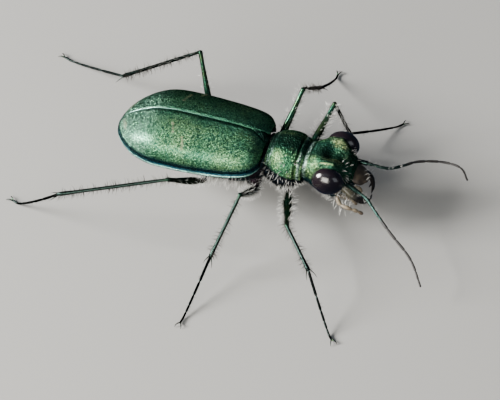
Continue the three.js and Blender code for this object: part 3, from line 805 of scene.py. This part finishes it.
# Jaws: the path from the root to the tip, and teeth with root, tip and thickness
jaws = dict(
    path=((5.62, 0.78, 2.88), (6.25, 1, 2.5), (6.75, 0.88, 2.22), (7.03, 0.46, 2.02), (7.08, -0.08, 1.92)),
    lifted=(0, 0, 1, 1, 1), lift=0.14,  # the left jaw crosses above the right one
    teeth=(
        ((6.72, 0.84, 2.24), (6.6, 0.36, 2.16), 0.13), ((6.35, 0.88, 2.42), (6.28, 0.46, 2.28), 0.14),
        ((6.95, 0.6, 2.08), (6.84, 0.22, 2.02), 0.09),
    ),
)


def jawPart(side):
    lift = np.array([0, 0, jaws["lift"] * side])
    over, t = np.array([1, side, 1]), np.linspace(0, 1, 40)
    path = smoothPath([p * over + lift * up for p, up in zip(jaws["path"], jaws["lifted"])], 40)
    parts = [tube(path, 0.33 * (1 - t) ** 0.75 * (1 - 0.25 * t) + 0.025, 18, flat=0.8)]
    for root, tip, thick in jaws["teeth"]:
        spike = hook([p * over + lift for p in (root, tip)], 8, thick, 0.8, 0.012, 10)
        spike["spots"][:, 0] = 0.6 + 0.4 * spike["spots"][:, 0]
        parts.append(spike)
    return joined(parts)


def palpPart(side, points, beads, thick):
    path = smoothPath(np.array(points) * (1, side, 1), 60)
    t = np.linspace(0, 1, 60)
    swell = np.zeros_like(t)
    for start, end in beads:
        inside = np.clip((t - start) / (end - start), 0, 1)
        swell = np.maximum(swell, np.sin(np.pi * inside) ** 0.5 * (0.72 + 0.28 * inside))
    return tube(path, thick * (0.28 + 0.72 * swell) * (1 - 0.15 * t), 14)


palps = dict(
    outer=dict(
        points=[(5.3, 1, 2.2), (5.6, 1.36, 1.95), (6.15, 1.5, 1.9), (6.65, 1.36, 1.68), (6.9, 1.16, 1.36)],
        beads=((0, 0.3), (0.3, 0.62), (0.62, 0.8), (0.8, 1)), thick=0.14,
    ),
    inner=dict(
        points=[(4.9, 0.4, 2.1), (5.15, 0.52, 1.84), (5.7, 0.58, 1.76), (6.15, 0.55, 1.6), (6.36, 0.5, 1.32)],
        beads=((0, 0.22), (0.22, 0.74), (0.74, 1)), thick=0.15,
    ),
)
for sideName, side in (("right", -1), ("left", 1)):
    addPiece(f"jaw_{sideName}", jawPart(side), jawHorn, "jaw", f"mandible_{sideName}")
    for which, slotName in (("outer", "leg"), ("inner", "ivory")):
        part = palpPart(side, **palps[which])
        addPiece(f"palp_{which}_{sideName}Skin", part, ivory, slotName, f"palp_{which}_{sideName}")
print("stage: head and mouth made")

# Feelers: eleven joints along the path of each side
feelers = dict(
    paths=dict(
        right=[
            (5.6, -0.9, 3.3), (6.35, -1.2, 3.2), (7.17, -1.6, 3.1), (7.97, -2.3, 2.85), (9.07, -3.27, 2.55),
            (10.55, -4.35, 2), (11.5, -5.5, 1.25),
        ],
        left=[
            (5.6, 0.9, 3.36), (6.6, 0.86, 3.36), (7.73, 1, 3.2), (8.4, 1.6, 3.05), (9.1, 2.4, 2.85),
            (10.4, 3, 2.65), (11.5, 2.85, 2.65), (12, 2.6, 2.05),
        ],
    ),
    lengths=(0.13, 0.035, 0.125, 0.1, 0.115, 0.105, 0.1, 0.09, 0.08, 0.065, 0.055),
    thick=curveThrough((0, 0.15), (0.13, 0.13), (0.17, 0.088), (0.45, 0.085), (0.8, 0.072), (1, 0.055)),
)


# A tube with a narrow waist at each joint
def jointedTube(points, lengths, thick, count, waist=0.62, sides=14):
    path = smoothPath(points, count)
    t = np.linspace(0, 1, count)
    joints = np.concatenate([[0], np.cumsum(lengths) / sum(lengths)])
    inside = np.zeros_like(t)
    for start, end in zip(joints, joints[1:]):
        here = (t >= start) & (t <= end)
        inside[here] = (t[here] - start) / (end - start)
    neck = 1 - (1 - waist) * hill(inside, 0, 0.08) - (1 - waist) * 0.8 * hill(inside, 1, 0.035)
    return tube(path, thick(t) * neck * (0.9 + 0.16 * inside), sides)


feelerParts = {
    sideName: jointedTube(points, feelers["lengths"], feelers["thick"], 230)
    for sideName, points in feelers["paths"].items()
}
for sideName, part in feelerParts.items():
    nodes = [f"antenna_{sideName}_{length}" for length in ("scape", "base", "whip")]
    addPiece(f"feeler_{sideName}", part, feelerMetal, "leg", *nodes)

# Thorax below the wing cases, with the edges of its plates
trunk = dict(
    waist=-2.35, rear=-7.75, neck=1.0, plates=(-6.9, -6.05, -5.15, -4.2, -3.25),
    belly=curveThrough(
        (-8, 2.85), (-7.4, 2.35), (-6, 1.9), (-4, 1.62), (-2.3, 1.5), (-0.6, 1.42), (0.3, 1.65), (0.9, 1.95),
    ),
    half=curveThrough(
        (-7.75, 0.5), (-7.2, 1.08), (-6.3, 1.72), (-5, 2.06), (-3.7, 2.1), (-1.8, 2), (-0.6, 1.87),
        (0.1, 1.71), (0.55, 1.48), (1, 1.24),
    ),
)


def trunkPart(front, back, rows, seams, seamDepth):
    def top(x):
        neck = 0.95 * smoothStep(x, 0.6, 0.95)  # fills the space behind the pronotum
        return shell["ridge"](np.maximum(shell["base"] - x, 0)) - 1.2 + neck

    def wide(x):
        return np.minimum(shell["rim"](np.maximum(shell["base"] - x, 0)), top(x) - 0.05)

    def swell(x, y, z):
        return sum(-seamDepth * hill(x, at, 0.05) for at in seams)

    shape = dict(half=trunk["half"], top=top, wide=wide, low=trunk["belly"], power=2.3, sides=72)
    return bodyPart(front, back, rows, swell, **shape)


thoraxPart = trunkPart(trunk["waist"] + 0.02, trunk["neck"], 60, (-1.1, 0.2), 0.06)
abdomenPart = trunkPart(trunk["rear"], trunk["waist"] - 0.02, 90, trunk["plates"], 0.05)
addPiece("thoraxSkin", thoraxPart, underMetal, "underside", "thorax")
addPiece("abdomenSkin", abdomenPart, underMetal, "underside", "abdomen")

# Legs: for each pair where the coxa and the femur begin on the left, then knee, ankle and toe of each side
legPairs = dict(
    front=dict(
        root=(2.05, 0.7, 2.05), start=(2.45, 1.05, 1.68), thigh=0.235,
        right=((3.5, -4.7, 2.75), (5.45, -6.95, 2.1), (7.7, -9.8)),
        left=((3.6, 4.15, 4.25), (4.35, 4.95, 1.35), (6.8, 8)),
    ),
    middle=dict(
        root=(0.3, 0.75, 1.85), start=(0.68, 1.28, 1.62), thigh=0.225,
        right=((0.8, -4.8, 4.45), (-0.2, -7.1, 1.45), (-0.6, -11.15)),
        left=((1.65, 4.3, 4.7), (1.85, 7.35, 2.2), (1.85, 11)),
    ),
    hind=dict(
        root=(-2.2, 0.75, 1.8), start=(-2.6, 1.4, 1.36), thigh=0.22,
        right=((-3.15, -5.5, 5.1), (-9.3, -6.7, 3.2), (-12.9, -5.1)),
        left=((-4.75, 4.75, 5.4), (-9.9, 5.45, 1.45), (-14.45, 7.35)),
    ),
)
legs = {}
for name, pair in legPairs.items():
    for sideName, side in (("right", -1), ("left", 1)):
        leg = {key: np.array(place, float) for key, place in zip(("knee", "ankle", "toe"), pair[sideName])}
        begun = {key: np.array(pair[key]) * (1, side, 1) for key in ("root", "start")}
        legs[f"{name}_{sideName}"] = dict(leg, **begun, thigh=pair["thigh"])
limb = dict(
    bow=0.06, knee=0.13, shin=0.1, shinEnd=0.125, foot=0.088, toe=0.068,
    footJoints=(0.36, 0.2, 0.15, 0.1, 0.19), layHeight=0.1, layFrom=0.9, layBend=1.15,
    coxa=(0.52, 0.48, 0.42),
)


# A straight length of a leg, which may sag
def shaftPart(start, end, radii, count, sides, tile, bow=0.0):
    t = np.linspace(0, 1, count)
    path = start + np.outer(t, end - start)
    path[:, 2] -= bow * 4 * t * (1 - t)
    return tube(path, curveThrough(*radii)(t), sides, tile=tile)


def thighPart(leg):
    thick = leg["thigh"]
    radii = ((0, 0.12), (0.08, 0.15), (0.32, thick), (0.6, thick * 0.8), (0.9, 0.125), (1, limb["knee"]))
    return shaftPart(leg["start"], leg["knee"], radii, 44, 20, (0.0, 0.3), limb["bow"])


def shinPart(leg):
    thick = limb["shin"]
    radii = ((0, 0.11), (0.05, 0.085), (0.12, thick), (0.8, thick), (0.97, limb["shinEnd"]), (1, 0.1))
    return shaftPart(leg["knee"], leg["ankle"], radii, 40, 16, (0.3, 0.3))


def footPath(leg, count):
    ankle, low = leg["ankle"], limb["layHeight"]
    s = np.linspace(0, 1, count)
    flat = ankle[:2] + np.outer(s, leg["toe"] - ankle[:2])
    fall = np.maximum(0, 1 - s / limb["layFrom"]) ** limb["layBend"]
    return np.column_stack([flat, low + (ankle[2] - low) * fall])


def footPart(leg):
    radius = curveThrough((0, limb["foot"]), (0.8, limb["toe"]), (1, 0.06))
    part = jointedTube(footPath(leg, 30), limb["footJoints"], radius, 120, waist=0.6, sides=12)
    part["spots"][:, 0] = 0.6 + 0.3 * part["spots"][:, 0]
    return part


# Two hooks side by side; each step is so far along, aside and up
def hookPair(start, along, across, up, steps, count, thick, power):
    return joined([
        hook([start + along * a + across * b * side + up * c for a, b, c in steps], count, thick, power)
        for side in (-1, 1)
    ])


def clawPart(leg):
    path = footPath(leg, 30)
    along = (path[-1] - path[-2]) * (1, 1, 0)
    along /= np.linalg.norm(along)
    up = np.array([0, 0, 1])
    steps = ((0, 0.03, 0), (0.13, 0.1, 0.05), (0.27, 0.17, 0), (0.34, 0.18, -0.085))
    return hookPair(path[-1], along, np.cross(up, along), up, steps, 16, 0.034, 0.7)


def spurPart(leg):
    along = leg["ankle"] - leg["knee"]
    along /= np.linalg.norm(along)
    across = np.cross((0, 0, 1), along)
    across /= np.linalg.norm(across)
    steps = ((-0.05, 0.06, 0), (0.3, 0.24, 0.06), (0.55, 0.3, 0.12))
    part = hookPair(leg["ankle"], along, across, np.cross(across, along), steps, 10, 0.032, 0.8)
    part["spots"][:, 0] = 0.55
    return part


def hipPart(leg):
    t = np.linspace(0, 1, 18)
    reach = tube(leg["root"] + np.outer(t, leg["start"] - leg["root"]), 0.3 - 0.14 * t, 16)
    body, bead = ball(leg["root"], limb["coxa"], 30, 20), ball(leg["start"], (0.18, 0.18, 0.18), 18, 12)
    return joined([body, reach, bead])


for name, leg in legs.items():
    addPiece(f"hip_{name}", hipPart(leg), underMetal, "underside", f"coxa_{name}")
    addPiece(f"thigh_{name}", thighPart(leg), legMetal, "leg", f"femur_{name}")
    addPiece(f"shin_{name}", joined([shinPart(leg), spurPart(leg)]), legMetal, "leg", f"tibia_{name}")
    addPiece(f"foot_{name}", footPart(leg), legMetal, "leg", f"tarsus_{name}")
    addPiece(f"claws_{name}", clawPart(leg), legMetal, "leg", f"tarsus_{name}")
print("stage: legs made")

# White bristles, grown by one Geometry Nodes tree from points on the skin
bristle = dict(thick=0.022, bend=0.3, sides=3, steps=4, stray=0.3, patch=0.003, sizes=(0.55, 1.1))


def bristleTree():
    tree = bpy.data.node_groups.new("bristles", "GeometryNodeTree")
    kinds = dict(Skin="Geometry", Seed="Int", Finish="Material")
    for name in ("Skin", "Density", "Length", "Thickness", "Bend", "Stray", "Seed", "Finish"):
        kind = kinds.get(name, "Float")
        tree.interface.new_socket(name, in_out="INPUT", socket_type=f"NodeSocket{kind}")
    tree.interface.new_socket("Coat", in_out="OUTPUT", socket_type="NodeSocketGeometry")
    net = Net(tree)
    given = tree.nodes.new("NodeGroupInput")
    wire = {socket.name: Wire(net, socket) for socket in given.outputs if socket.name}

    def field(name, kind="FLOAT"):
        return net.node("GeometryNodeInputNamedAttribute", dict(data_type=kind), name)

    def keep(geometry, name, kind, domain, value):
        settings, named = dict(data_type=kind, domain=domain), dict(Geometry=geometry, Name=name, Value=value)
        return net.node("GeometryNodeStoreNamedAttribute", settings, **named)

    def turned(axis, **named):
        return net.node("FunctionNodeAlignRotationToVector", axis, **named)

    # one bristle, a length of 1 along z, bent towards x
    slender = wire["Thickness"] / wire["Length"]
    shaft = net.node(
        "GeometryNodeMeshCone", None, Vertices=bristle["sides"], Side_Segments=bristle["steps"], Depth=1.0,
        Radius_Bottom=slender, Radius_Top=slender * 0.2, out="Mesh",
    )
    rise = net.parted(net.node("GeometryNodeInputPosition"))[2]
    aside = net.node("ShaderNodeCombineXYZ", None, rise * rise * wire["Bend"])
    bent = net.node("GeometryNodeSetPosition", None, Geometry=shaft, Offset=aside)
    strand = keep(bent, "strand", "FLOAT2", "CORNER", net.node("ShaderNodeCombineXYZ", None, rise))

    density = field("bristleMask") * wire["Density"]
    points = net.node(
        "GeometryNodeDistributePointsOnFaces", None, Mesh=wire["Skin"], Density=density, Seed=wire["Seed"],
        out="Points",
    )
    rooted = keep(points, "root", "FLOAT_VECTOR", "POINT", field("skin", "FLOAT_VECTOR"))
    upright = turned(dict(axis="Z"), Vector=points.beside("Normal"))
    lean = field("bristleLean", "FLOAT_VECTOR")
    leaning = turned(dict(axis="X", pivot_axis="Z"), Rotation=upright, Vector=lean)
    spread = net.node("ShaderNodeCombineXYZ", None, wire["Stray"], wire["Stray"], wire["Stray"] * 2)
    back = net.vector("SCALE", spread, Scale=-1.0)
    vectors, numbers = dict(data_type="FLOAT_VECTOR"), dict(data_type="FLOAT")
    local = dict(rotation_space="LOCAL")
    stray = net.node("FunctionNodeRandomValue", vectors, back, spread, Seed=wire["Seed"])
    rotation = net.node("FunctionNodeRotateRotation", local, Rotation=leaning, Rotate_By=stray)
    size = net.node("FunctionNodeRandomValue", numbers, None, None, *bristle["sizes"], out=1)
    length = size * field("bristleLength") * wire["Length"]
    coat = net.node(
        "GeometryNodeInstanceOnPoints", None, Points=rooted, Instance=strand, Rotation=rotation, Scale=length,
    )
    grown = net.node("GeometryNodeRealizeInstances", None, coat)
    patch = net.vector("SCALE", shaft.beside("UV Map"), Scale=bristle["patch"])
    spot = net.vector("ADD", field("root", "FLOAT_VECTOR"), patch)
    mapped = keep(grown, "OFBake", "FLOAT2", "CORNER", spot)
    smooth = net.node("GeometryNodeSetShadeSmooth", None, mapped)
    done = net.node("GeometryNodeSetMaterial", None, Geometry=smooth, Material=wire["Finish"])
    net.node("NodeGroupOutput", None, done)
    return tree


bristles = bristleTree()


# A coat on some parts: each source is a part, a mask, a share of the length, and the way the tips point
def coat(name, sources, density, length, slotName="ivory", seed=1, **change):
    rows = len(sources)
    whole = joined([
        dict(source[0], spots=source[0]["spots"] * (1, 0.9 / rows) + (0, (k + 0.05) / rows))
        for k, source in enumerate(sources)
    ])
    mesh = makeMesh(f"{name}Roots", whole)
    count = len(whole["points"])
    fields = dict(bristleMask=[], bristleLength=[], bristleLean=[])
    for part, mask, share, lean in sources:
        ones = np.ones(len(part["points"]))
        fields["bristleMask"].append(np.clip(mask * ones, 0, 1))
        fields["bristleLength"].append(share * ones)
        direction = part["run"] * lean if np.isscalar(lean) else ones[:, None] * np.array(lean)
        fields["bristleLean"].append(direction)
    for key, kind in (("bristleMask", "FLOAT"), ("bristleLength", "FLOAT"), ("bristleLean", "FLOAT_VECTOR")):
        values = np.concatenate(fields[key]).astype(np.float32).ravel()
        layer = mesh.attributes.new(key, kind, "POINT")
        layer.data.foreach_set("vector" if kind == "FLOAT_VECTOR" else "value", values)
    holder = bpy.data.objects.new(f"{name}Roots", mesh)
    bpy.context.scene.collection.objects.link(holder)
    modifier = holder.modifiers.new("bristles", "NODES")
    modifier.node_group = bristles
    settings = dict(
        Density=density * 1e6, Length=length * mm, Thickness=bristle["thick"] * mm, Bend=bristle["bend"],
        Stray=bristle["stray"], Seed=seed, Finish=bristleWhite,
    )
    settings.update({key.capitalize(): value for key, value in change.items()})
    for socket in bristles.interface.items_tree:
        if socket.in_out == "INPUT" and socket.name in settings:
            modifier[socket.identifier] = settings[socket.name]
    bpy.context.view_layer.update()
    seen = holder.evaluated_get(bpy.context.evaluated_depsgraph_get())
    grown = bpy.data.meshes.new_from_object(seen)
    grown.name = name
    bpy.data.objects.remove(holder)
    for attribute in [a.name for a in grown.attributes if a.name in (*fields, "root", "skin")]:
        grown.attributes.remove(grown.attributes[attribute])
    print(f"  {name}: {len(grown.polygons)} faces, {count} points of skin")
    return addPiece(name, grown, bristleWhite, slotName)


# How much hair by the place round a limb: its two sides, and below
def roundLimb(part, sides, below):
    turn = part["flow"][:, 1] * 2 * np.pi
    return sides * np.cos(turn) ** 2 + below * np.clip(-np.sin(turn), 0, 1) ** 2


def shareAlong(part, start, end):
    return ((part["flow"][:, 0] > start) & (part["flow"][:, 0] < end)) * 1.0


down = (0, 0, -1)
# On the femora: how much hair at the sides, how much below, and its length
thighHair = dict(front=(1.0, 0.8, 1.0), middle=(0.55, 0.9, 0.85), hind=(0.2, 0.5, 0.65))
for k, (name, leg) in enumerate(legs.items()):
    sides, below, share = thighHair[name.split("_")[0]]
    thigh, shin, foot = thighPart(leg), shinPart(leg), footPart(leg)
    offFloor = smoothStep(foot["points"][:, 2], 0.16, 0.3)
    sources = [
        (thigh, roundLimb(thigh, sides, below) * shareAlong(thigh, 0.08, 0.94), share, 1.0),
        (shin, roundLimb(shin, 1.0, 1.0) * shareAlong(shin, 0.06, 0.98), 0.8, 1.0),
        (foot, roundLimb(foot, 0.3, 0.5) * shareAlong(foot, 0.03, 0.97) * offFloor, 0.42, 1.0),
        (hipPart(leg), 0.5, 0.8, down),
    ]
    coat(f"bristles_{name}", sources, 80, 0.42, seed=11 + k)

# Below the wing cases: a fringe along the flanks, thinner towards the tail
def flankHair(part):
    x, y, z = part["points"].T
    flank = smoothStep(np.abs(y), 0.7, 1.2) * smoothStep(z, 3.2, 2.9)
    under = 0.35 * smoothStep(z, 2.4, 2.0)
    return (flank + under) * (0.18 + 0.82 * smoothStep(x, -4.2, -2.0)) * smoothStep(x, 0.4, -0.4)


# They lean outwards, so that their tips show past the rim
def flankLean(part):
    y = part["points"][:, 1]
    return np.stack([0 * y, 1.6 * np.sign(y), 0 * y - 0.5], axis=1)


trunkShares = ((thoraxPart, 1.0), (abdomenPart, 0.6))
sources = [(part, flankHair(part), share, flankLean(part)) for part, share in trunkShares]
coat("bristles_flanks", sources, 27, 0.64, seed=3, stray=0.45)

# Pronotum: along the flanks, with a few on the sides of the disc
x, y, z = foreSkin["points"].T
foreHair = smoothStep(z + 0.26 * x, 4.0, 3.7) * 0.8 + 0.14 * smoothStep(np.abs(y), 1.0, 1.3)
coat("bristles_pronotum", [(foreSkin, foreHair, 0.9, down)], 30, 0.34, seed=5, stray=0.5)

# Head: on the cheeks, round the roots of the feelers, on lip and jaws, and long ones on the pale palps
x, y, z = headSkin["points"].T
cheeks = smoothStep(z, 3.0, 2.6) * smoothStep(x, 3.6, 4.2)
front = hill(x, 5.75, 0.25) * smoothStep(np.abs(y), 0.35, 0.7) * smoothStep(z, 3.0, 3.3)
lipEdge = smoothStep(lipSkin["points"][:, 0], 6.5, 6.62)
sources = [
    (headSkin, cheeks * 0.5 + front * 0.7, 0.7, (0.6, 0, -1)), (lipSkin, lipEdge * 0.25, 0.9, (1, 0, -0.3)),
]
for side in (-1, 1):
    jaw = jawPart(side)
    sources.append((jaw, 0.4 * shareAlong(jaw, 0.0, 0.35), 0.8, (0.4, 0, -1)))
    for which, share in (("outer", 1.2), ("inner", 1.7)):
        palp = palpPart(side, **palps[which])
        hair = roundLimb(palp, 0.4, 1.0) * shareAlong(palp, 0.1, 0.8)
        sources.append((palp, hair, share, (0.2, side, -0.7)))
coat("bristles_head", sources, 45, 0.4, seed=8, stray=0.4)

# Feelers: stiff ones at the joints near the root, and short down on the rest
sources = []
for part in feelerParts.values():
    along = part["flow"][:, 0]
    sources.append((part, 0.9 * (along < 0.42) * (along > 0.04), 0.6, 1.0))
    sources.append((part, 1.0 * (along > 0.44), 0.25, 1.0))
coat("bristles_feelers", sources, 30, 0.3, seed=9, stray=0.25)
print("stage: bristles grown")

# Floor
half = studio["floorHalf"]
floorMesh = bpy.data.meshes.new("floor")
corners = [(-half, -half, 0), (half, -half, 0), (half, half, 0), (-half, half, 0)]
floorMesh.from_pydata(corners, [], [(0, 1, 2, 3)])
floorMesh.materials.append(newMaterial("paleFloor", floorFinish))
floor = bpy.data.objects.new("floor", floorMesh)
bpy.context.scene.collection.objects.link(floor)
floor.visible_glossy = False  # the metal mirrors dark surroundings, not the pale floor


# Camera at the photograph's angle and framing
def toMetres(place):
    return Vector((np.array(place) + shift) * mm)


def setCamera():
    up, turn = math.radians(camera["elevation"]), math.radians(camera["azimuth"])
    back = Vector((math.sin(turn) * math.cos(up), -math.cos(turn) * math.cos(up), math.sin(up)))
    right = Vector((math.cos(turn), math.sin(turn), 0))
    over = back.cross(right)
    focal = camera["lens"] / camera["sensor"] * camera["picture"][0]
    aside = (camera["aimPixel"][0] - camera["picture"][0] / 2) / focal * camera["distance"]
    above = (camera["picture"][1] / 2 - camera["aimPixel"][1]) / focal * camera["distance"]
    place = toMetres(camera["aim"]) + (back * camera["distance"] - right * aside - over * above) * mm
    made = bpy.data.cameras.new("camera")
    made.lens, made.sensor_width, made.clip_start, made.clip_end = camera["lens"], camera["sensor"], 0.005, 20
    view = bpy.data.objects.new("camera", made)
    view.matrix_world = Matrix.Translation(place) @ Matrix((right, over, back)).transposed().to_4x4()
    bpy.context.scene.collection.objects.link(view)
    bpy.context.scene.camera = view


setCamera()

# Lights: where each stands from the beetle in mm, its size, power in watts and colour
lights = dict(
    key=dict(place=(-200, -80, 105), size=95, power=2.0, colour=(1.0, 0.97, 0.92)),
    side=dict(place=(-50, -205, 78), size=130, power=0.62, colour=(1.0, 0.95, 0.85)),
    sky=dict(place=(-50, -100, 225), size=150, power=0.02, colour=(0.85, 0.93, 1.0)),
    fill=dict(place=(160, -110, 110), size=120, power=0.05, colour=(0.9, 0.95, 1.0)),
)
for name, data in lights.items():
    lamp = bpy.data.lights.new(name, "AREA")
    lamp.size, lamp.energy, lamp.color = data["size"] * mm, data["power"], data["colour"]
    stand = bpy.data.objects.new(name, lamp)
    stand.location = toMetres(data["place"])
    stand.rotation_euler = (toMetres((0, 0, 2)) - stand.location).to_track_quat("-Z", "Y").to_euler()
    bpy.context.scene.collection.objects.link(stand)
world = bpy.data.worlds.new("studio")
world.use_nodes = True
sky, strength = world.node_tree.nodes["Background"].inputs[:2]
sky.default_value, strength.default_value = (0.35, 0.55, 0.9, 1), 0.065
bpy.context.scene.world = world
print("stage: camera and lights set")
